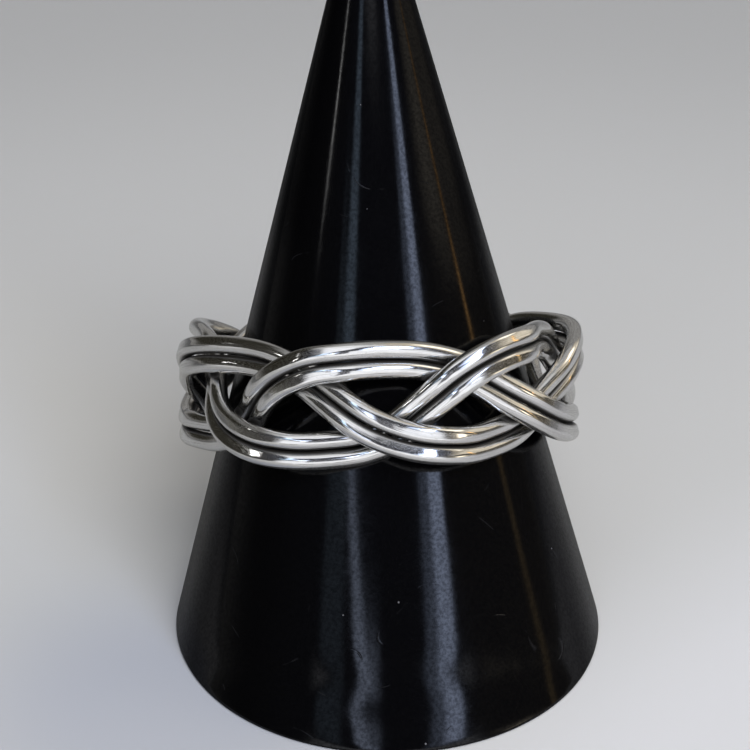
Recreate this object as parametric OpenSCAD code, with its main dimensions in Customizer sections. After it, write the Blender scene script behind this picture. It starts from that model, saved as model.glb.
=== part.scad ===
/* [Ring] */
// Inside diameter of the ring, across its innermost wires
ring_inner_d = 19.1; // [17:0.1:21.5]
// Width of the braided band along the finger, from its lowest wire to its highest
band_w = 7.1; // [6.8:0.1:8.5]
// Diameter of the silver wire
wire_d = 1.04; // [0.8:0.02:1.1]
// Gap between the two wires that run side by side
pair_gap = 0.06; // [0.04:0.01:0.2]
// Gap where the wires of one pass cross the wires of another
cross_gap = 0.1; // [0.08:0.01:0.2]

/* [Braid] */
// Arches round each edge of the band
arch_count = 7; // [5, 7, 8]
// How much broader than a plain wave each arch is
arch_broad = 0.065; // [0:0.005:0.1]
// How far a wire runs ahead on either side of an arch, as a share of one wave
arch_sway = 0.054; // [0:0.002:0.08]

/* [Cone stand] */
// Diameter of the cone, square to its axis, where the axis meets the table
cone_base_d = 25; // [24:0.5:32]
// Angle between the cone's side and its axis
cone_half_angle = 15.5; // [14:0.1:17]
// Radius of the rounded tip
tip_r = 1.5; // [0.5:0.1:3]
// Angle by which the cone leans back from the viewer
lean = 20; // [0:1:25]
// Gap between the cone and the wire that rests on it
seat_gap = 0.05; // [0.03:0.01:0.2]

/* [Hidden] */

// Sides of the wire's round section, and sections along one wave of the braid
wire_sides = 12;
wave_sections = 44;
// Straight steps in the arc of the rounded tip, and sides of the cone when drawn
tip_steps = 10;
cone_sides = 96;

// A wire goes round the ring once for each pass of the braid before it closes
passes = 3;
arch_pitch = 360 / arch_count;
wave_pitch = passes * arch_pitch;
wire_r = wire_d / 2;
pair_pitch = wire_d + pair_gap;
// From the band's middle to the middle line of a pair of wires at the top of an arch
crest_h = (band_w - wire_d - pair_pitch) / 2;

// A pass crosses the next one this far along its wave, counted from the band's middle
crossing_phase = 30;
// Run along the band for one radian of the wave
wave_run = (ring_inner_d / 2 + wire_d) * wave_pitch / 360;
crossing_slope = atan(crest_h * cos(crossing_phase) / wave_run);
// The outer wires of two crossing pairs meet this much earlier and later on the wave
crossing_lead = pair_pitch / 2 / sin(crossing_slope) / wave_run * 180 / PI;
// How far a pass swings in and out of the band, so that all crossing wires clear
bow = (wire_d + cross_gap) / (swing(crossing_phase - crossing_lead) + swing(crossing_phase + crossing_lead));
mid_r = ring_inner_d / 2 + wire_r + bow;

// The braid is made by hand, so each arch is a little off: how far ahead its crest stands,
// as a share of the arch pitch, and how much further it reaches, as a share of band_w
TOP_AHEAD = 0;
LOW_AHEAD = 1;
TOP_REACH = 2;
LOW_REACH = 3;
uneven = [
    [-0.110, -0.005, -0.005, -0.006],
    [-0.053, 0.080, 0.039, 0.000],
    [0.000, 0.020, -0.019, 0.010],
    [0.030, -0.030, 0.010, -0.010],
    [-0.025, 0.030, -0.010, 0.012],
    [0.035, -0.020, 0.012, -0.008],
    [-0.105, 0.022, -0.010, 0.014]
];

// In and out over one wave: 1 is furthest in, -1 furthest out, with rounded flats
function swing(phase) = let(s = sin(2 * phase)) sqrt(2) * s / sqrt(1 + s * s);

// Crests are numbered along a wire: even ones are top arches and odd ones low arches
function is_top(crest) = crest % 2 == 0;
function arch_row(crest) = uneven[floor(passes / 2 * crest) % arch_count % len(uneven)];
function ahead(crest) = arch_row(crest)[is_top(crest) ? TOP_AHEAD : LOW_AHEAD] * arch_pitch;
function reach(crest) = is_top(crest)
    ? arch_row(crest)[TOP_REACH] * band_w
    : -arch_row(crest)[LOW_REACH] * band_w;

// Middle line of a pair at a phase counted from the first top crest: [angle, radius, height]
function pair_line(phase) = let(
    crest = floor(phase / 180),
    along = (1 - cos(phase - 180 * crest)) / 2,
    lead = ahead(crest) * (1 - along) + ahead(crest + 1) * along,
    extra = reach(crest) * (1 - along) + reach(crest + 1) * along,
    turn = phase + arch_sway * sin(2 * phase) * 180 / PI,
    wave = (cos(phase) - arch_broad * cos(3 * phase)) / (1 - arch_broad)
) [wave_pitch * turn / 360 + lead, mid_r - bow * swing(phase), crest_h * wave + extra];

// One wire of the pair, half a pair pitch off the middle line and square to it:
// side 1 is the upper wire and side -1 the lower
function wire_point(phase, side) = let(
    before = pair_line(phase - 1),
    after = pair_line(phase + 1),
    here = pair_line(phase),
    run = (after[0] - before[0]) * PI / 180 * mid_r,
    rise = after[2] - before[2],
    off = side * pair_pitch / 2 / norm([run, rise]),
    angle = here[0] - off * rise / mid_r * 180 / PI
) [here[1] * sin(angle), -here[1] * cos(angle), here[2] + off * run];

// The first crest has a number large enough that no phase falls below zero
first_phase = 360 * arch_count;
sections = wave_sections * arch_count;
function wire_path(side) = [
    for (i = [0 : sections - 1]) wire_point(first_phase + 360 * i / wave_sections, side)
];
upper_path = wire_path(1);
lower_path = wire_path(-1);

// The ring slides down the cone until its lowest inner wire rests on it
cone_base_r = cone_base_d / 2;
function rest_height(point) = (cone_base_r - norm([point[0], point[1]])
    + (wire_r + seat_gap) / cos(cone_half_angle)) / tan(cone_half_angle) - point[2];
ring_h = max([for (point = concat(upper_path, lower_path)) rest_height(point)]);

// The sharp point that the cone's sides run to, and the centre of its rounded tip
apex_h = cone_base_r / tan(cone_half_angle);
tip_h = apex_h - tip_r / sin(cone_half_angle);
// The cone runs on this far below the table before it is cut off flat
foot_drop = cone_base_r;
cone_profile = [
    [0, -foot_drop],
    [cone_base_r + foot_drop * tan(cone_half_angle), -foot_drop],
    for (i = [0 : tip_steps - 1])
        let(a = cone_half_angle + (90 - cone_half_angle) * i / tip_steps)
            [tip_r * cos(a), tip_h + tip_r * sin(a)],
    [0, tip_h + tip_r]
];

// A closed round wire swept along a ring of points
module closed_wire(path) {
    n = len(path);
    points = [
        for (i = [0 : n - 1])
            let(
                ahead_of = path[(i + 1) % n] - path[(i + n - 1) % n],
                forward = ahead_of / norm(ahead_of),
                outward = [path[i][0], path[i][1], 0] / norm([path[i][0], path[i][1]]),
                square = outward - (outward * forward) * forward,
                u = square / norm(square),
                v = cross(forward, u)
            )
            for (j = [0 : wire_sides - 1])
                let(a = 360 * j / wire_sides) path[i] + wire_r * (cos(a) * u + sin(a) * v)
    ];
    function corner(i, j) = (i % n) * wire_sides + j % wire_sides;
    faces = [
        for (i = [0 : n - 1], j = [0 : wire_sides - 1], half = [0, 1])
            half == 0
                ? [corner(i, j), corner(i, j + 1), corner(i + 1, j + 1)]
                : [corner(i, j), corner(i + 1, j + 1), corner(i + 1, j)]
    ];
    polyhedron(points, faces);
}

// Everything is made about the cone's axis, then leaned back from the viewer
module leaned() {
    rotate([-lean, 0, 0]) children();
}

module upper_wire() {
    color("silver") leaned() translate([0, 0, ring_h]) closed_wire(upper_path);
}

module lower_wire() {
    color("gainsboro") leaned() translate([0, 0, ring_h]) closed_wire(lower_path);
}

module cone_stand() {
    below = 4 * cone_base_d;
    color([0.03, 0.03, 0.04]) difference() {
        leaned() rotate_extrude($fn = cone_sides) polygon(cone_profile);
        translate([-below / 2, -below / 2, -below]) cube(below);
    }
}

upper_wire();
lower_wire();
cone_stand();
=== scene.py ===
"""A braided silver band ring seated on a leaning black cone, dressed for a studio picture.

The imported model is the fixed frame. Three pieces stand for its three nodes: the two endless
wires of the braid and the cone they rest on. Every surface is worked out as whole arrays in
millimetres about the cone's axis, then leaned back and brought to metres.
"""

import math

import bpy
import numpy as np
from mathutils import Matrix, Vector


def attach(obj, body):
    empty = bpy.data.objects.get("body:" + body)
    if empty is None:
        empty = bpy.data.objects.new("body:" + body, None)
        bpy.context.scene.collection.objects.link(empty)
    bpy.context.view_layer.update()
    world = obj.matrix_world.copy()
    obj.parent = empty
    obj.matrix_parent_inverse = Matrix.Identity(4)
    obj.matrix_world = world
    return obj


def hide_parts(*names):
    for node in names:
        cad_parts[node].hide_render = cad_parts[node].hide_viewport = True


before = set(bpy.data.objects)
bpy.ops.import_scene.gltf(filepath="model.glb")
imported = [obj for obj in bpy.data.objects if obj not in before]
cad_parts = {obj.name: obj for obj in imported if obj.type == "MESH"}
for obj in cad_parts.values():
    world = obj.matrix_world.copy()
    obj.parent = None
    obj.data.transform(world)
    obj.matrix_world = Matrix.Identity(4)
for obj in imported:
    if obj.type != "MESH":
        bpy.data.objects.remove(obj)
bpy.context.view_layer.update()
scene = bpy.context.scene

# Sizes in millimetres and angles in degrees, as in the part's source
RING_INNER_D = 19.1
BAND_W = 7.1
WIRE_D = 1.04
PAIR_GAP = 0.06
CROSS_GAP = 0.1
ARCHES = 7
PASSES = 3
ARCH_BROAD = 0.065
ARCH_SWAY = 0.054
CROSSING_PHASE = 30
CONE_BASE_D = 25
TIP_R = 1.5
SEAT_GAP = 0.05
# How far ahead each top and low arch stands, as a share of the arch pitch, then how much
# further each reaches, as a share of the band
UNEVEN = np.array(
    [
        [-0.110, -0.005, -0.005, -0.006],
        [-0.053, 0.080, 0.039, 0.000],
        [0.000, 0.020, -0.019, 0.010],
        [0.030, -0.030, 0.010, -0.010],
        [-0.025, 0.030, -0.010, 0.012],
        [0.035, -0.020, 0.012, -0.008],
        [-0.105, 0.022, -0.010, 0.014],
    ]
)
# The angle between the cone's side and its axis, and how far the cone leans back, in radians
CONE_HALF_ANGLE = math.radians(15.5)
LEAN = math.radians(20)

WIRE_R = WIRE_D / 2
PAIR_PITCH = WIRE_D + PAIR_GAP
ARCH_PITCH = 360 / ARCHES
WAVE_PITCH = PASSES * ARCH_PITCH
CREST_H = (BAND_W - WIRE_D - PAIR_PITCH) / 2
CONE_BASE_R = CONE_BASE_D / 2

# A wire worked by hand wanders in waves, so many to its whole length. Their height falls from
# the first one's with a power of their number. A pair was bent as one, so each of its wires
# has only a small share of wander of its own
WANDER_WAVES = np.arange(20, 92, 3)
WANDER_H = 0.012
WANDER_FIRST = 24
WANDER_FALL = 1.6
PAIR_SEED = 3
OWN_WANDER = 0.25
# The wire's section is a slight oval that turns to and fro along it
OVAL = 0.008
OVAL_WAVES = 11

# Buffing has worn a flat on each pass that stands out. Its normal is tilted to one side by an
# angle that sways along the wire, and it cuts deeper the further out the pass bows
FLAT_TILT = -15
FLAT_SWAY = 9
FLAT_WAVES = 4
FLAT_START = 0.03
FLAT_DEPTH = 0.11
FLAT_POWER = 1.5
FLAT_EDGE = 0.009

# Shelter is measured this far off a wire's surface and falls over this reach, both as shares of
# its radius, and a wire's own sections this near along it don't shelter it. Its faces turned to
# the finger count as a little sheltered: they are never polished, and their darkening is part
# tarnish and part painted shade inside the ring
PROBE_OFF = 0.35
SHELTER_REACH = 0.9
OWN_SECTIONS = 42
INNER_SHELTER = 0.35
# The cone's gloss is weaker up to this far from a wire's surface, as painted shade of the ring,
# but not near the band's edges
CLOSE_REACH = 1.5
CLOSE_EDGE = 0.2
CLOSE_FADE = 0.8

# The moulded cone draws in a little in a shallow ring just above its foot, whose edge is round
SINK_DEPTH = 0.042
SINK_REACH = 1.3
SINK_H = -1.9
FOOT_R = 0.22
FOOT_IN = 1.2

# How finely the pieces are drawn
WIRE_SIDES = 36
WIRE_SECTIONS = 1680
CONE_SIDES = 360
CONE_ROWS = 170
TIP_ROWS = 14
FOOT_ROWS = 7
UNDER_STEPS = (0.3, 0.6, 0.85)
# The table, in metres: its rings of points and how far it lies below the foot
TABLE_SIDES = 96
TABLE_RADII = (0.02, 0.06, 0.15, 0.3, 0.6)
TABLE_DROP = 0.00002
MM = 0.001


# The braid's lines


def swing(phase):
    """In and out over one wave, from 1 furthest in to -1 furthest out: the sine of twice the
    phase, s, flattened at its peaks as sqrt(2) s / sqrt(1 + s^2)."""
    s = np.sin(np.radians(2 * phase))
    return math.sqrt(2) * s / np.sqrt(1 + s * s)


def bow():
    """How far a pass swings in and out so that the outer wires of two crossing pairs clear:
    the wire and its gap, over the sum of the swings where those wires meet."""
    run = (RING_INNER_D / 2 + WIRE_D) * WAVE_PITCH / 360
    slope = math.atan(CREST_H * math.cos(math.radians(CROSSING_PHASE)) / run)
    lead = math.degrees(PAIR_PITCH / 2 / math.sin(slope) / run)
    meets = swing(CROSSING_PHASE - lead) + swing(CROSSING_PHASE + lead)
    return (WIRE_D + CROSS_GAP) / meets


BOW = bow()
MID_R = RING_INNER_D / 2 + WIRE_R + BOW


def pair_line(phase):
    """Middle line of a pair of wires at each phase, as angle, radius and height. The angle
    runs with the phase plus a sway of sin(2 phase), the height is cos(phase) broadened by its
    third harmonic, and both take up the unevenness of the two crests on either side."""
    crest = np.floor(phase / 180).astype(int)
    along = (1 - np.cos(np.radians(phase - 180 * crest))) / 2

    def uneven(number):
        row = UNEVEN[np.floor(PASSES / 2 * number).astype(int) % ARCHES]
        top = number % 2 == 0
        ahead = np.where(top, row[:, 0], row[:, 1]) * ARCH_PITCH
        reach = np.where(top, row[:, 2], -row[:, 3]) * BAND_W
        return ahead, reach

    (lead_a, reach_a), (lead_b, reach_b) = uneven(crest), uneven(crest + 1)
    lead = lead_a * (1 - along) + lead_b * along
    extra = reach_a * (1 - along) + reach_b * along
    turn = phase + ARCH_SWAY * np.degrees(np.sin(np.radians(2 * phase)))
    wave = np.cos(np.radians(phase)) - ARCH_BROAD * np.cos(np.radians(3 * phase))
    height = CREST_H * wave / (1 - ARCH_BROAD) + extra
    return WAVE_PITCH * turn / 360 + lead, MID_R - BOW * swing(phase), height


def wire_line(side, count=WIRE_SECTIONS):
    """Points along one wire of the pair: half a pair pitch off the pair's middle line and
    square to its run, up for side 1 and down for side -1."""
    phase = 360.0 * ARCHES + np.arange(count) * 360.0 * ARCHES / count
    before, after = pair_line(phase - 1), pair_line(phase + 1)
    angle, radius, height = pair_line(phase)
    run = np.radians(after[0] - before[0]) * MID_R
    rise = after[2] - before[2]
    off = side * PAIR_PITCH / 2 / np.hypot(run, rise)
    angle = np.radians(angle) - off * rise / MID_R
    return np.stack([radius * np.sin(angle), -radius * np.cos(angle), height + off * run], -1)


def ring_height(lines):
    """Height of the ring's middle up the cone: each point of the wires touches the cone's
    side at the height where the side, moved out by a wire's radius and the gap, reaches it,
    and the highest of these heights holds the ring."""
    points = np.concatenate(lines)
    out = (WIRE_R + SEAT_GAP) / math.cos(CONE_HALF_ANGLE)
    free = CONE_BASE_R - np.hypot(points[:, 0], points[:, 1]) + out
    return (free / math.tan(CONE_HALF_ANGLE) - points[:, 2]).max()


def lean_back(points):
    """Turns points from about the cone's axis to the table's frame, and from mm to metres."""
    x, y, z = points[..., 0], points[..., 1], points[..., 2]
    c, s = math.cos(LEAN), math.sin(LEAN)
    return np.stack([x, c * y + s * z, -s * y + c * z], -1) * MM


# Meshes


def unit(arrows):
    """Arrows, one a row, brought to length 1."""
    return arrows / np.linalg.norm(arrows, axis=1, keepdims=True)


def closed_grid(rows, columns):
    """Quads of a grid that closes on itself both ways, as four corner numbers each."""
    i, j = np.meshgrid(np.arange(rows), np.arange(columns), indexing="ij")
    i2, j2 = (i + 1) % rows, (j + 1) % columns
    corners = [i * columns + j, i * columns + j2, i2 * columns + j2, i2 * columns + j]
    return np.stack(corners, -1).reshape(-1, 4)


def mesh_piece(name, points, faces, node, material):
    """Makes a smooth piece from points in metres and faces, and puts it in a node's place."""
    mesh = bpy.data.meshes.new(name)
    mesh.from_pydata(points, [], faces)
    mesh.polygons.foreach_set("use_smooth", np.ones(len(mesh.polygons), bool))
    mesh.materials.append(material)
    mesh.update()
    piece = bpy.data.objects.new(name, mesh)
    scene.collection.objects.link(piece)
    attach(piece, "root")
    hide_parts(node)
    return piece


def set_attribute(piece, name, values):
    """Gives each point of a piece a value that its material can read."""
    attribute = piece.data.attributes.new(name, "FLOAT", "POINT")
    attribute.data.foreach_set("value", values.astype(np.float32))


def hand_waver(count, seed):
    """Small wander of a wire worked by hand, outward and sideways, as two closed waves along
    its length: each a sum of sines whose heights fall with a power of their number."""
    rng = np.random.default_rng(seed)
    along = np.arange(count) / count * 2 * np.pi
    waves = []
    for _ in range(2):
        height = WANDER_H * rng.normal(size=len(WANDER_WAVES))
        height = height * (WANDER_FIRST / WANDER_WAVES) ** WANDER_FALL
        start = rng.uniform(0, 2 * np.pi, len(WANDER_WAVES))
        waves.append((height * np.sin(WANDER_WAVES * along[:, None] + start)).sum(1))
    return waves


def nearest(points, line, own=None, skip=0):
    """Distance from each point to the nearest point of a line of samples. Where own gives
    each point's place along the same line, samples within skip of it don't count."""
    best = np.empty(len(points))
    step = 1500
    number = np.arange(len(line))
    for start in range(0, len(points), step):
        part = slice(start, start + step)
        gap = np.linalg.norm(points[part, None] - line[None], axis=2)
        if own is not None:
            away = np.abs(own[part, None] - number[None])
            gap[np.minimum(away, len(line) - away) < skip] = np.inf
        best[part] = gap.min(1)
    return best


def wire_surface(side, seed):
    """One endless round wire, as its middle line, its points by section and side, and the
    arrows from the middle line to them. A circle is carried along the wire's line, turned so
    that its first point looks away from the ring's axis, with a slight wander and a slight
    oval: x = line + r (1 + e cos(2 a + sway)) (cos a outward + sin a sideways). Where the
    section's reach c along the flat's normal passes the limit f, it is cut back by
    h ln(1 + e^((c - f) / h)), a straight cut with a soft edge."""
    line = wire_line(side)
    forward = unit(np.roll(line, -1, 0) - np.roll(line, 1, 0))
    outward = unit(line * [1, 1, 0])
    outward = unit(outward - (outward * forward).sum(1, keepdims=True) * forward)
    sideways = np.cross(forward, outward)
    shared, own = hand_waver(len(line), PAIR_SEED), hand_waver(len(line), seed)
    waver_out, waver_side = (a + OWN_WANDER * b for a, b in zip(shared, own))
    line = line + waver_out[:, None] * outward + waver_side[:, None] * sideways

    angle = np.arange(WIRE_SIDES) * 2 * np.pi / WIRE_SIDES
    along = np.arange(len(line))[:, None] / len(line) * 2 * np.pi
    oval = 1 + OVAL * np.cos(2 * angle[None] + 3 * np.sin(OVAL_WAVES * along + seed))
    radial = np.cos(angle)[None, :, None] * outward[:, None]
    radial = radial + np.sin(angle)[None, :, None] * sideways[:, None]
    points = line[:, None] + WIRE_R * oval[..., None] * radial

    out = np.clip((np.hypot(line[:, :1], line[:, 1:2]) - MID_R) / BOW, 0, 1)
    tilt = np.radians(FLAT_TILT + FLAT_SWAY * np.sin(FLAT_WAVES * along + seed))
    limit = WIRE_R + FLAT_START - FLAT_DEPTH * out**FLAT_POWER
    past = (WIRE_R * np.cos(angle[None] - tilt) - limit) / FLAT_EDGE
    cut = FLAT_EDGE * np.logaddexp(0, past)
    points -= cut[..., None] * (np.cos(tilt) * outward + np.sin(tilt) * sideways)[:, None]
    return line, points, radial


def wire_shelter(side, line, points, radial):
    """How sheltered each point of a wire is, from 0 in the open to 1 where another wire, or
    another pass of its own, lies against it: 1 less the gap over the reach, measured on every
    second section and averaged in between. The faces turned inward are raised to at least
    their own little shelter."""
    count = len(line)
    own = np.repeat(np.arange(count // 2), WIRE_SIDES)
    probe = (points + PROBE_OFF * WIRE_R * radial)[::2].reshape(-1, 3)
    same = nearest(probe, line[::2], own, OWN_SECTIONS)
    other = nearest(probe, wire_line(-side)[::2])
    gap = np.minimum(same, other) - WIRE_R
    half = np.clip(1 - gap / (SHELTER_REACH * WIRE_R), 0, 1).reshape(-1, WIRE_SIDES)
    shelter = np.stack([half, (half + np.roll(half, -1, 0)) / 2], 1).reshape(-1)
    angle = np.arange(WIRE_SIDES) * 2 * np.pi / WIRE_SIDES
    inward = np.broadcast_to(-np.cos(angle)[None], (count, WIRE_SIDES)).reshape(-1)
    return np.maximum(shelter, INNER_SHELTER * np.clip((inward - 0.3) / 0.5, 0, 1))


def wire_piece(name, side, seed, node, material, ring_h):
    """One wire of the braid, with its shelter and a map of millimetres along it and turns
    round it."""
    line, points, radial = wire_surface(side, seed)
    count = len(line)
    shape = lean_back(points.reshape(-1, 3) + [0, 0, ring_h])
    piece = mesh_piece(name, shape, closed_grid(count, WIRE_SIDES), node, material)
    set_attribute(piece, "shelter", wire_shelter(side, line, points, radial))

    step = np.linalg.norm(np.roll(line, -1, 0) - line, axis=1)
    length = np.concatenate([[0], np.cumsum(step)])
    i, j = np.meshgrid(np.arange(count), np.arange(WIRE_SIDES), indexing="ij")
    u = np.stack([length[i], length[i], length[i + 1], length[i + 1]], -1)
    v = np.stack([j, j + 1, j + 1, j], -1) / WIRE_SIDES
    uv = piece.data.uv_layers.new(name="along_wire")
    uv.data.foreach_set("uv", np.stack([u, v], -1).astype(np.float32).ravel())


def cone_rows():
    """Rows of points down the cone, one point a meridian in each, between its two poles.
    Each meridian runs down the rounded tip, then straight down the side to the table, round
    a small foot edge, and in under the foot to the middle. The side's radius is that of the
    cone less a shallow bell, d exp(-((h - h0) / w)^2)."""
    phi = np.arange(CONE_SIDES) * 2 * np.pi / CONE_SIDES
    tan_a = math.tan(CONE_HALF_ANGLE)
    c, s = math.cos(LEAN), math.sin(LEAN)
    tip_h = CONE_BASE_R / tan_a - TIP_R / math.sin(CONE_HALF_ANGLE)

    def on_axis(radius, height):
        return np.stack([radius * np.sin(phi), -radius * np.cos(phi), height + 0 * radius], -1)

    def side_at(height):
        sink = SINK_DEPTH * np.exp(-(((height - SINK_H) / SINK_REACH) ** 2))
        return on_axis(CONE_BASE_R - height * tan_a - sink, height)

    # A height z over the table is where c h + s (R - h tan a) cos phi is z on the side
    def height_over_table(z):
        return (z - s * CONE_BASE_R * np.cos(phi)) / (c - s * tan_a * np.cos(phi))

    rows = []
    for a in np.linspace(math.pi / 2, CONE_HALF_ANGLE, TIP_ROWS)[1:]:
        rows.append(on_axis(TIP_R * math.cos(a) + 0 * phi, tip_h + TIP_R * math.sin(a)))
    top = tip_h + TIP_R * math.sin(CONE_HALF_ANGLE)
    low = height_over_table(FOOT_R)
    for t in np.linspace(0, 1, CONE_ROWS)[1:]:
        rows.append(side_at(top + (low - top) * t))
    # The foot edge: a curve from the side to the underside that bends at the sharp corner
    start, corner = rows[-1], side_at(height_over_table(0.0))
    middle = on_axis(0 * phi, 0.0)
    up = np.array([0, -s, c])
    inward = middle - corner
    inward = unit(inward - inward @ up[:, None] * up)
    end = corner + FOOT_R * FOOT_IN * inward
    for t in np.linspace(0, 1, FOOT_ROWS)[1:]:
        rows.append((1 - t) ** 2 * start + 2 * t * (1 - t) * corner + t * t * end)
    for t in UNDER_STEPS:
        rows.append(end + (middle - end) * t)
    return rows, tip_h + TIP_R


def cone_piece(name, node, material, wires):
    """The cone: its rows closed by a fan at the tip and a fan under the foot. Each point also
    knows how deep it lies in the braid's openings: 1 right beside a wire, 0 a little way off
    and past the band's edges."""
    rows, tip = cone_rows()
    points = np.concatenate([[[0, 0, tip]], np.stack(rows).reshape(-1, 3), [[0, 0, 0]]])
    n, m = len(rows), CONE_SIDES
    i, j = np.meshgrid(np.arange(n - 1), np.arange(m), indexing="ij")
    j2 = (j + 1) % m
    quads = 1 + np.stack([i * m + j, (i + 1) * m + j, (i + 1) * m + j2, i * m + j2], -1)
    k = np.arange(m)
    k2 = (k + 1) % m
    cap = np.stack([np.zeros(m, int), 1 + k, 1 + k2], -1)
    base = 1 + (n - 1) * m
    under = np.stack([np.full(m, len(points) - 1), base + k2, base + k], -1)
    faces = cap.tolist() + quads.reshape(-1, 4).tolist() + under.tolist()
    piece = mesh_piece(name, lean_back(points), faces, node, material)

    close = np.zeros(len(points))
    off_middle = np.abs(points[:, 2] - wires[:, 2].mean())
    band = off_middle < BAND_W
    close[band] = np.clip(1 - (nearest(points[band], wires) - WIRE_R) / CLOSE_REACH, 0, 1)
    close *= np.clip((BAND_W / 2 - CLOSE_EDGE - off_middle) / CLOSE_FADE, 0, 1)
    set_attribute(piece, "close", close)


# Shading. Lengths are in metres, and a pattern's scale is its number of features to a metre

SILVER_RUBBED = (0.82, 0.815, 0.80, 1)
SILVER_HANDLED = (0.74, 0.73, 0.71, 1)
SILVER_STREAK = (0.62, 0.61, 0.59, 1)
# Tarnish with painted shade where wires shelter each other, nearly black deep between them
TARNISH_AND_SHADE = (0.17, 0.165, 0.16, 1)
DEEP_TARNISH_AND_SHADE = (0.02, 0.018, 0.016, 1)
PLASTIC = (0.0012, 0.0012, 0.0016, 1)
PLASTIC_SCRATCH = (0.008, 0.008, 0.009, 1)
DUST_GREY = (0.11, 0.11, 0.12, 1)
TABLE = (0.60, 0.60, 0.592, 1)
# Painted light at the table's front right, and a painted shadow at its front left
TABLE_PAINTED_LIGHT = (0.69, 0.69, 0.705, 1)
TABLE_PAINTED_SHADOW = (0.485, 0.50, 0.545, 1)
BACKDROP = (0.47, 0.475, 0.48, 1)
BLACK = (0, 0, 0, 1)
VECTOR, FLOAT = "NodeSocketVector", "NodeSocketFloat"


class Nodes:
    """Adds nodes to a tree, wiring or setting each named or numbered input."""

    def __init__(self, tree):
        self.tree = tree

    def add(self, kind, inputs=None, **settings):
        node = self.tree.nodes.new(kind)
        for key, value in settings.items():
            setattr(node, key, value)
        for key, value in (inputs or {}).items():
            self.feed(node.inputs[key], value)
        return node

    def feed(self, socket, value):
        """Wires another node's output into a socket, or sets the socket to a plain value."""
        if isinstance(value, bpy.types.NodeSocket):
            self.tree.links.new(value, socket)
        else:
            socket.default_value = value

    def math(self, operation, a, b=0.0, third=0.0):
        return self.add("ShaderNodeMath", {0: a, 1: b, 2: third}, operation=operation).outputs[0]

    def times(self, a, b):
        return self.math("MULTIPLY", a, b)

    def minus(self, a, b):
        return self.math("SUBTRACT", a, b)

    def plus(self, first, *others):
        for other in others:
            first = self.math("ADD", first, other)
        return first

    def fade(self, value, low, high, to_low=0.0, to_high=1.0):
        """Smooth step of a value from low to high, given out as to_low to to_high."""
        ends = {"From Min": low, "From Max": high, "To Min": to_low, "To Max": to_high}
        node = self.add(
            "ShaderNodeMapRange", {"Value": value, **ends}, interpolation_type="SMOOTHSTEP"
        )
        return node.outputs["Result"]

    def between(self, value, low, high, soft):
        """1 between low and high and 0 outside, with edges of the given softness."""
        enter = self.fade(value, low - soft / 2, low + soft / 2)
        return self.times(enter, self.fade(value, high - soft / 2, high + soft / 2, 1.0, 0.0))

    def mix(self, factor, a, b, label=""):
        node = self.add("ShaderNodeMix", {0: factor, 6: a, 7: b}, data_type="RGBA", label=label)
        return node.outputs[2]

    def noise(self, vector, scale, detail=3.0, roughness=0.5):
        inputs = {"Vector": vector, "Scale": scale, "Detail": detail, "Roughness": roughness}
        return self.add("ShaderNodeTexNoise", inputs).outputs["Fac"]

    def stretched(self, vector, scale):
        node = self.add("ShaderNodeMapping", {"Vector": vector, "Scale": scale})
        return node.outputs["Vector"]

    def effect(self, tree, **inputs):
        """A shared effect placed in this material with its own values."""
        return self.add("ShaderNodeGroup", inputs, node_tree=tree).outputs[0]

    def is_seen(self):
        """1 where the camera looks straight at the surface, 0 in reflections."""
        return self.add("ShaderNodeLightPath").outputs["Is Camera Ray"]


def group(name, inputs, output):
    """An empty node group with these inputs, given as name and kind, and one number out."""
    tree = bpy.data.node_groups.new(name, "ShaderNodeTree")
    for label, kind in inputs:
        tree.interface.new_socket(label, in_out="INPUT", socket_type=kind)
    tree.interface.new_socket(output, in_out="OUTPUT", socket_type=FLOAT)
    nodes = Nodes(tree)
    given = nodes.add("NodeGroupInput").outputs
    return tree, nodes, given, nodes.add("NodeGroupOutput").inputs[output]


def scratches_group():
    """Sparse hair scratches: the thin lines along which a slow noise passes its middle value,
    kept only where a second noise is high."""
    tree, n, given, mask = group("hair_scratches", [("Vector", VECTOR), ("Amount", FLOAT)], "Mask")
    slow = n.noise(given["Vector"], 0.7, 0.0)
    line = n.fade(n.math("ABSOLUTE", n.minus(slow, 0.5)), 0.0, 0.006, 1.0, 0.0)
    here = n.noise(given["Vector"], 1.7, 2.0)
    low = n.minus(0.75, n.times(given["Amount"], 0.4))
    n.feed(mask, n.times(line, n.fade(here, low, n.plus(low, 0.08))))
    return tree


def dust_group():
    """Specks of dust: small round spots at the middle of some of the cells of a cell
    pattern, with a different size in each cell."""
    tree, n, given, mask = group("dust_specks", [("Vector", VECTOR), ("Share", FLOAT)], "Mask")
    cells = n.add("ShaderNodeTexVoronoi", {"Vector": given["Vector"], "Scale": 1.0}).outputs
    parts = n.add("ShaderNodeSeparateColor", {"Color": cells["Color"]}).outputs
    size = n.times(n.math("POWER", parts[1], 3.0), 0.035)
    spot = n.fade(n.minus(cells["Distance"], size), 0.012, 0.03, 1.0, 0.0)
    n.feed(mask, n.times(spot, n.math("LESS_THAN", parts[0], given["Share"])))
    return tree


def haze_group():
    """Slow cloudy handling haze: two scales of noise added and spread to run from 0 to 1."""
    tree, n, given, value = group("handling_haze", [("Vector", VECTOR)], "Value")
    broad = n.noise(given["Vector"], 1.0, 4.0, 0.6)
    fine = n.noise(given["Vector"], 6.0, 3.0, 0.65)
    n.feed(value, n.fade(n.plus(n.times(broad, 0.65), n.times(fine, 0.35)), 0.36, 0.66))
    return tree


SCRATCHES, DUST, HAZE = scratches_group(), dust_group(), haze_group()


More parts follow.
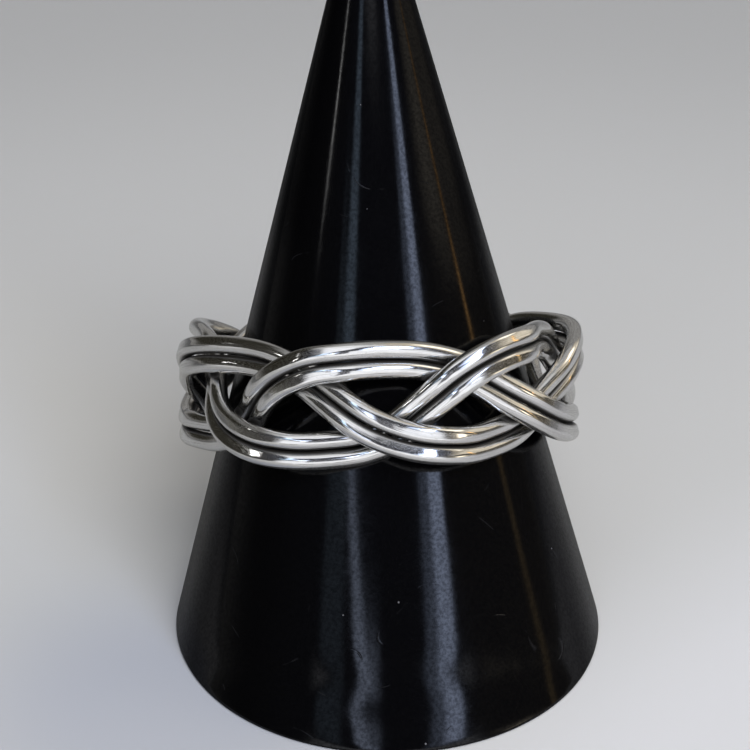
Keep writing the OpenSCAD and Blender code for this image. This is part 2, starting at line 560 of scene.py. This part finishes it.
def new_material(name):
    """An empty material: its nodes, its one surface's inputs, and Object coordinates."""
    material = bpy.data.materials.new(name)
    material.use_nodes = True
    material.node_tree.nodes.clear()
    n = Nodes(material.node_tree)
    surface = n.add("ShaderNodeBsdfPrincipled")
    n.add("ShaderNodeOutputMaterial", {0: surface.outputs[0]})
    return material, n, surface.inputs, n.add("ShaderNodeTexCoord").outputs["Object"]


def silver_material():
    """Polished silver wire: bright where it is rubbed, darkened where another wire shelters it by
    tarnish and painted shade, with drawing lines along the wire and a few hair scratches."""
    material, n, surface, place = new_material("polished_silver")
    along = n.add("ShaderNodeUVMap", uv_map="along_wire").outputs["UV"]
    shelter = n.add("ShaderNodeAttribute", attribute_name="shelter").outputs["Fac"]
    haze = n.effect(HAZE, Vector=n.stretched(place, (420, 420, 420)))
    scratch = n.effect(SCRATCHES, Vector=n.stretched(place, (900, 900, 1500)), Amount=0.3)
    # Sheltered silver is darkened, part tarnish and part painted shade, and deep between two wires
    # both make it nearly black and barely metallic
    tarnish_and_shade = n.fade(shelter, 0.15, 0.85)
    deep = n.fade(shelter, 0.62, 0.95)
    streak = n.fade(n.noise(n.stretched(along, (0.3, 44.0, 1.0)), 1.0, 2.0), 0.42, 0.72)
    colour = n.mix(haze, SILVER_RUBBED, SILVER_HANDLED)
    colour = n.mix(streak, colour, SILVER_STREAK)
    colour = n.mix(tarnish_and_shade, colour, TARNISH_AND_SHADE)
    n.feed(surface["Base Color"], n.mix(deep, colour, DEEP_TARNISH_AND_SHADE))
    n.feed(surface["Metallic"], n.math("MULTIPLY_ADD", deep, -0.95, 1.0))
    # Scuffs too fine to see, here and there, give a soft sheen
    scuff = n.fade(n.noise(place, 45000.0, 0.0), 0.63, 0.69)
    rough = n.plus(
        0.045,
        n.times(haze, 0.04),
        n.times(tarnish_and_shade, 0.3),
        n.times(scratch, 0.12),
        n.times(scuff, 0.25),
    )
    n.feed(surface["Roughness"], rough)
    # Shallow dents in the open parts, then drawing lines and scratches over them
    rubbed = n.fade(shelter, 0.1, 0.6, 1.0, 0.1)
    dent = n.noise(place, 900.0, 1.0)
    dents = n.add("ShaderNodeBump", {"Strength": rubbed, "Distance": 0.000018, "Height": dent})
    grain = n.noise(n.stretched(along, (0.16, 26.0, 1.0)), 1.0, 3.0, 0.6)
    lines = {
        "Strength": n.times(rubbed, 0.6),
        "Distance": 0.00001,
        "Height": n.minus(n.times(grain, 0.6), scratch),
        "Normal": dents.outputs[0],
    }
    n.feed(surface["Normal"], n.add("ShaderNodeBump", lines).outputs[0])
    return material


def plastic_material():
    """Glossy black moulded plastic: faintly wavy, with handling haze, dust and scratches."""
    material, n, surface, place = new_material("black_plastic")
    haze = n.effect(HAZE, Vector=n.stretched(place, (160, 160, 160)))
    scratch = n.effect(SCRATCHES, Vector=n.stretched(place, (330, 330, 420)), Amount=0.45)
    dust = n.effect(DUST, Vector=n.stretched(place, (900, 900, 900)), Share=0.35)
    colour = n.mix(scratch, PLASTIC, PLASTIC_SCRATCH)
    n.feed(surface["Base Color"], n.mix(dust, colour, DUST_GREY))
    # The film of handling shows as a weaker, softer gloss where the side turns away, and a weaker
    # gloss close to the ring's wires is painted shade of the ring in the cone's reflections
    turned = n.add("ShaderNodeLayerWeight", {"Blend": 0.5}).outputs["Facing"]
    close = n.add("ShaderNodeAttribute", attribute_name="close").outputs["Fac"]
    gloss = n.times(n.fade(turned, 0.3, 0.55, 0.3, 0.07), n.fade(close, 0.0, 0.8, 1.0, 0.12))
    # The upper cone was handled more, so its sides are duller still
    height = n.add("ShaderNodeSeparateXYZ", {"Vector": place}).outputs["Z"]
    dull = n.times(n.fade(height, 0.019, 0.024), n.fade(turned, 0.17, 0.34))
    gloss = n.times(gloss, n.math("MULTIPLY_ADD", dull, -0.72, 1.0))
    mottle = n.fade(n.noise(place, 5200.0, 3.0, 0.7), 0.3, 0.7, 0.62, 1.38)
    # The wires see it with its full gloss of 0.5
    in_wires = n.math("MULTIPLY_ADD", n.is_seen(), -0.5, 0.5)
    n.feed(surface["Specular IOR Level"], n.math("MAXIMUM", n.times(gloss, mottle), in_wires))
    rough = n.plus(
        0.07, n.times(haze, 0.05), n.times(n.fade(turned, 0.5, 1.0), 0.3), n.times(dust, 0.6)
    )
    n.feed(surface["Roughness"], rough)
    surface["IOR"].default_value = 1.42
    # Moulding ripple, a fine grain and the scratches
    ripple = n.times(n.noise(place, 260.0, 2.0), 0.5)
    relief = n.plus(ripple, n.times(n.noise(place, 7000.0, 1.0), 0.06))
    relief = n.minus(relief, n.times(scratch, 0.5))
    bump = n.add("ShaderNodeBump", {"Strength": 0.25, "Distance": 0.00002, "Height": relief})
    n.feed(surface["Normal"], bump.outputs[0])
    return material


def table_material():
    """Pale matt table top, made a little brighter at the front right by painted light, darker
    further out by painted shade, and darker at the front left by a painted shadow. In the
    reflections only, painted shade dims it at the sides and behind, and past a painted dark band
    it glows as a painted bright board."""
    material, n, surface, place = new_material("pale_table")
    parts = n.add("ShaderNodeSeparateXYZ", {"Vector": place}).outputs
    x, y = parts["X"], parts["Y"]
    distance = n.add("ShaderNodeVectorMath", {0: place}, operation="LENGTH").outputs["Value"]
    spot = n.add("ShaderNodeVectorMath", {0: place, 1: (-0.013, -0.010, 0)}, operation="DISTANCE")
    # Painted light brightens the front right, and painted shade darkens the table further out
    colour = n.mix(n.fade(n.minus(x, y), 0.008, 0.030), TABLE, TABLE_PAINTED_LIGHT)
    colour = n.mix(n.fade(distance, 0.05, 0.12, 0.0, 0.14), colour, BLACK)
    # A painted shadow darkens the table at the front left, beside the cone's foot
    painted_shadow = n.fade(spot.outputs["Value"], 0.004, 0.018, 1.0, 0.0)
    colour = n.mix(painted_shadow, colour, TABLE_PAINTED_SHADOW)
    # Painted shade in the reflections only: how much of its colour shows in them, all of it in
    # front, less behind, and little in a painted dark band that crosses the front
    far = n.math("MULTIPLY_ADD", n.fade(distance, 0.05, 0.2), -0.55, 1.0)
    back = n.times(n.fade(x, -0.02, 0.03, 0.68, 0.76), far)
    front = n.fade(y, -0.045, 0.0, 1.0, 0.0)
    share = n.plus(back, n.times(front, n.minus(1.0, back)))
    gap = n.between(y, -0.058, -0.050, 0.004)
    share = n.times(share, n.math("MULTIPLY_ADD", gap, -0.8, 1.0))
    seen = n.is_seen()
    n.feed(surface["Base Color"], n.mix(n.math("MAXIMUM", share, seen), BLACK, colour))
    # Painted glow, only in reflections: past the dark band a bright board lies in front of the
    # picture
    painted_board_glow = n.times(n.fade(y, -0.062, -0.058, 0.36, 0.0), n.minus(1.0, seen))
    n.feed(surface["Emission Strength"], painted_board_glow)
    surface["Emission Color"].default_value = (1.0, 1.0, 1.0, 1.0)
    surface["Roughness"].default_value = 0.9
    surface["IOR"].default_value = 1.3
    return material


def table_piece():
    """Round pale table, a flat disc of rings of points, well wider than the picture."""
    phi = np.arange(TABLE_SIDES) * 2 * np.pi / TABLE_SIDES
    radius = np.array(TABLE_RADII)
    ring = radius[:, None, None] * np.stack([np.cos(phi), np.sin(phi), 0 * phi], -1)[None]
    points = np.concatenate([[[0, 0, 0]], ring.reshape(-1, 3)])
    k = np.arange(TABLE_SIDES)
    k2 = (k + 1) % TABLE_SIDES
    faces = np.stack([np.zeros(TABLE_SIDES, int), 1 + k, 1 + k2], -1).tolist()
    for inner in 1 + TABLE_SIDES * np.arange(len(TABLE_RADII) - 1):
        outer = inner + TABLE_SIDES
        faces += np.stack([inner + k, outer + k, outer + k2, inner + k2], -1).tolist()
    mesh = bpy.data.meshes.new("table")
    mesh.from_pydata(points - [0, 0, TABLE_DROP], [], faces)
    mesh.materials.append(table_material())
    table = bpy.data.objects.new("table", mesh)
    scene.collection.objects.link(table)


# The pieces

lines = [wire_line(1), wire_line(-1)]
ring_h = ring_height(lines)
silver = silver_material()
wire_piece("silver_wire_upper", 1, 5, "upper_wire", silver, ring_h)
wire_piece("silver_wire_lower", -1, 8, "lower_wire", silver, ring_h)
wires = np.concatenate(lines)[::2] + [0, 0, ring_h]
cone_piece("black_cone", "cone_stand", plastic_material(), wires)
table_piece()


# The light

# The surroundings, as soft-edged zones laid over each other in this order. Azimuth is counted
# from the front towards the right and elevation from level, both in degrees: azimuth, half
# width, lowest, highest, softness across and up, lean, colour. The lean is how far the zone's
# azimuth moves for each degree of elevation above its lowest
ZONES = [
    ("room behind", 180, 70, -12, 50, 50, 16, 0.0, (0.26, 0.255, 0.25)),
    ("dim ceiling behind", 180, 100, 52, 100, 60, 8, 0.0, (0.40, 0.40, 0.40)),
    ("bright wall in front", 0, 44, -3, 27.4, 14, 2.0, 0.0, (1.15, 1.17, 1.24)),
    ("dark stand in front", -3, 8, 9, 28, 4, 3, 0.0, (0.16, 0.16, 0.18)),
    ("dark wall on the left", -118, 46, 6, 60, 30, 16, 0.0, (0.030, 0.028, 0.022)),
    ("warm wall on the right", 92, 36, 4, 34, 24, 10, 0.0, (0.84, 0.76, 0.62)),
    ("low warm lamp", 65, 7, 5, 15, 5, 3, 0.0, (2.3, 2.05, 1.6)),
    ("dark curtain", 109, 15, 0, 38, 6, 6, -1.72, (0.09, 0.08, 0.065)),
    ("warm window's glow", 106, 30, 36, 64, 14, 8, 0.0, (0.62, 0.54, 0.42)),
    ("warm window", 106, 17, 38, 58, 10, 6, 0.0, (1.9, 1.78, 1.52)),
    ("warm strip", 88.5, 1.8, 2, 30, 2.4, 6, 0.12, (0.52, 0.38, 0.20)),
    ("warm strip, upper", 90.9, 1.0, 15, 27, 1.6, 6, 0.0, (3.2, 1.75, 0.60)),
    ("left lamp", -77.5, 0.9, 30, 39, 0.8, 4, 0.0, (8.3, 8.3, 8.3)),
    ("left window, dim side", -37, 8, 29, 41, 5, 4, -0.6, (0.32, 0.40, 0.50)),
    ("left window, near side", -13.5, 4.5, 29, 36.4, 6, 2.5, 0.0, (1.3, 1.5, 2.0)),
    ("left window, foot", -13.2, 4.4, 29, 36.6, 4, 1.2, -1.25, (2.6, 3.0, 4.0)),
    ("left window, lower", -22.5, 4.4, 36, 39.5, 4, 1.2, -3.2, (2.6, 3.0, 4.0)),
    ("left window, upper", -37.5, 5.4, 38.5, 62, 5, 3, 0.0, (1.23, 1.6, 2.1)),
    ("right window, dim side", 20.5, 5, 29, 46, 5, 4, 1.05, (1.1, 1.3, 1.8)),
    ("right window", 31, 6.4, 29, 52, 4, 3, 1.05, (4.3, 5.05, 7.0)),
    ("ceiling corner", -18, 34, 53, 66, 14, 3, 0.0, (1.15, 1.17, 1.25)),
]
# Between the zones the room brightens from the dark middle to the ceiling: elevation, colour
ROOM = [
    (-90, (0.30, 0.30, 0.30)),
    (-14, (0.22, 0.22, 0.22)),
    (-3, (0.17, 0.165, 0.15)),
    (4, (0.10, 0.098, 0.09)),
    (12, (0.056, 0.054, 0.052)),
    (50, (0.052, 0.054, 0.066)),
    (56, (0.32, 0.33, 0.35)),
    (62, (0.95, 0.96, 1.00)),
    (90, (1.05, 1.06, 1.10)),
]


def studio_world():
    """Soft studio all round: the room by elevation, then each zone faded in over it."""
    world = bpy.data.worlds.new("studio")
    world.use_nodes = True
    world.node_tree.nodes.clear()
    n = Nodes(world.node_tree)
    way = n.add("ShaderNodeTexCoord").outputs["Generated"]
    x, y, z = n.add("ShaderNodeSeparateXYZ", {"Vector": way}).outputs
    azimuth = n.math("DEGREES", n.math("ARCTAN2", x, n.times(y, -1.0)))
    elevation = n.math("DEGREES", n.math("ARCSINE", z))
    level = n.math("DIVIDE", n.plus(elevation, 90.0), 180.0)
    ramp = n.add("ShaderNodeValToRGB", {"Fac": level})
    elements = ramp.color_ramp.elements
    while len(elements) < len(ROOM):
        elements.new(0.5)
    for element, (degrees, colour) in zip(elements, ROOM):
        element.position = (degrees + 90) / 180
        element.color = (*colour, 1)
    total = ramp.outputs["Color"]
    for name, middle, half, low, high, soft, soft_up, lean, colour in ZONES:
        if lean:
            middle = n.math("MULTIPLY_ADD", n.minus(elevation, low), lean, middle)
        off = n.math("WRAP", n.minus(azimuth, middle), 180.0, third=-180.0)
        across = n.fade(n.math("ABSOLUTE", off), half - soft / 2, half + soft / 2, 1.0, 0.0)
        mask = n.times(across, n.between(elevation, low, high, soft_up))
        total = n.mix(mask, total, (*colour, 1), name)
    # Looked at straight on, as from a low angle, the room is a plain pale backdrop
    total = n.mix(n.is_seen(), total, BACKDROP)
    back = n.add("ShaderNodeBackground", {"Color": total, "Strength": 1.0})
    n.add("ShaderNodeOutputWorld", {0: back.outputs[0]})
    scene.world = world


def soft_light(name, place, target, size, power, colour):
    """A square soft light that shades matt surfaces only, aimed from one point at another."""
    data = bpy.data.lights.new(name, "AREA")
    data.size = size
    data.energy = power
    data.color = colour
    light = bpy.data.objects.new(name, data)
    light.location = place
    light.rotation_euler = (Vector(target) - Vector(place)).to_track_quat("-Z", "Y").to_euler()
    light.visible_glossy = False
    light.visible_camera = False
    scene.collection.objects.link(light)


studio_world()
soft_light("front_light", (0.07, -0.24, 0.26), (0.01, 0.02, 0.0), 0.2, 0.85, (1.0, 0.995, 0.99))
scene.view_settings.view_transform = "Standard"

# The camera: its lens for a picture of this many pixels, its place in millimetres, and how far
# it is pitched down, yawed to the right and rolled, in degrees

PICTURE_PX = 750
FOCAL_PX = 2200
CAMERA_PLACE = (-7.313, -110.787, 72.682)
CAMERA_TURNS = (27.251, 3.476, -0.25)


def picture_camera():
    """A camera of that lens, looking along the arrow that pitch and yaw give."""
    data = bpy.data.cameras.new("camera")
    data.sensor_width = 36.0
    data.lens = data.sensor_width * FOCAL_PX / PICTURE_PX
    data.clip_start = 0.002
    data.clip_end = 10.0
    camera = bpy.data.objects.new("camera", data)
    scene.collection.objects.link(camera)
    pitch, yaw, roll = (math.radians(a) for a in CAMERA_TURNS)
    run = math.cos(pitch)
    ahead = Vector((math.sin(yaw) * run, math.cos(yaw) * run, -math.sin(pitch)))
    right = Vector((math.cos(yaw), -math.sin(yaw), 0))
    up = right.cross(ahead)
    turned_right = math.cos(roll) * right + math.sin(roll) * up
    turned_up = -math.sin(roll) * right + math.cos(roll) * up
    facing = Matrix((turned_right, turned_up, -ahead)).transposed().to_4x4()
    camera.matrix_world = Matrix.Translation(Vector(CAMERA_PLACE) * MM) @ facing
    scene.camera = camera


picture_camera()
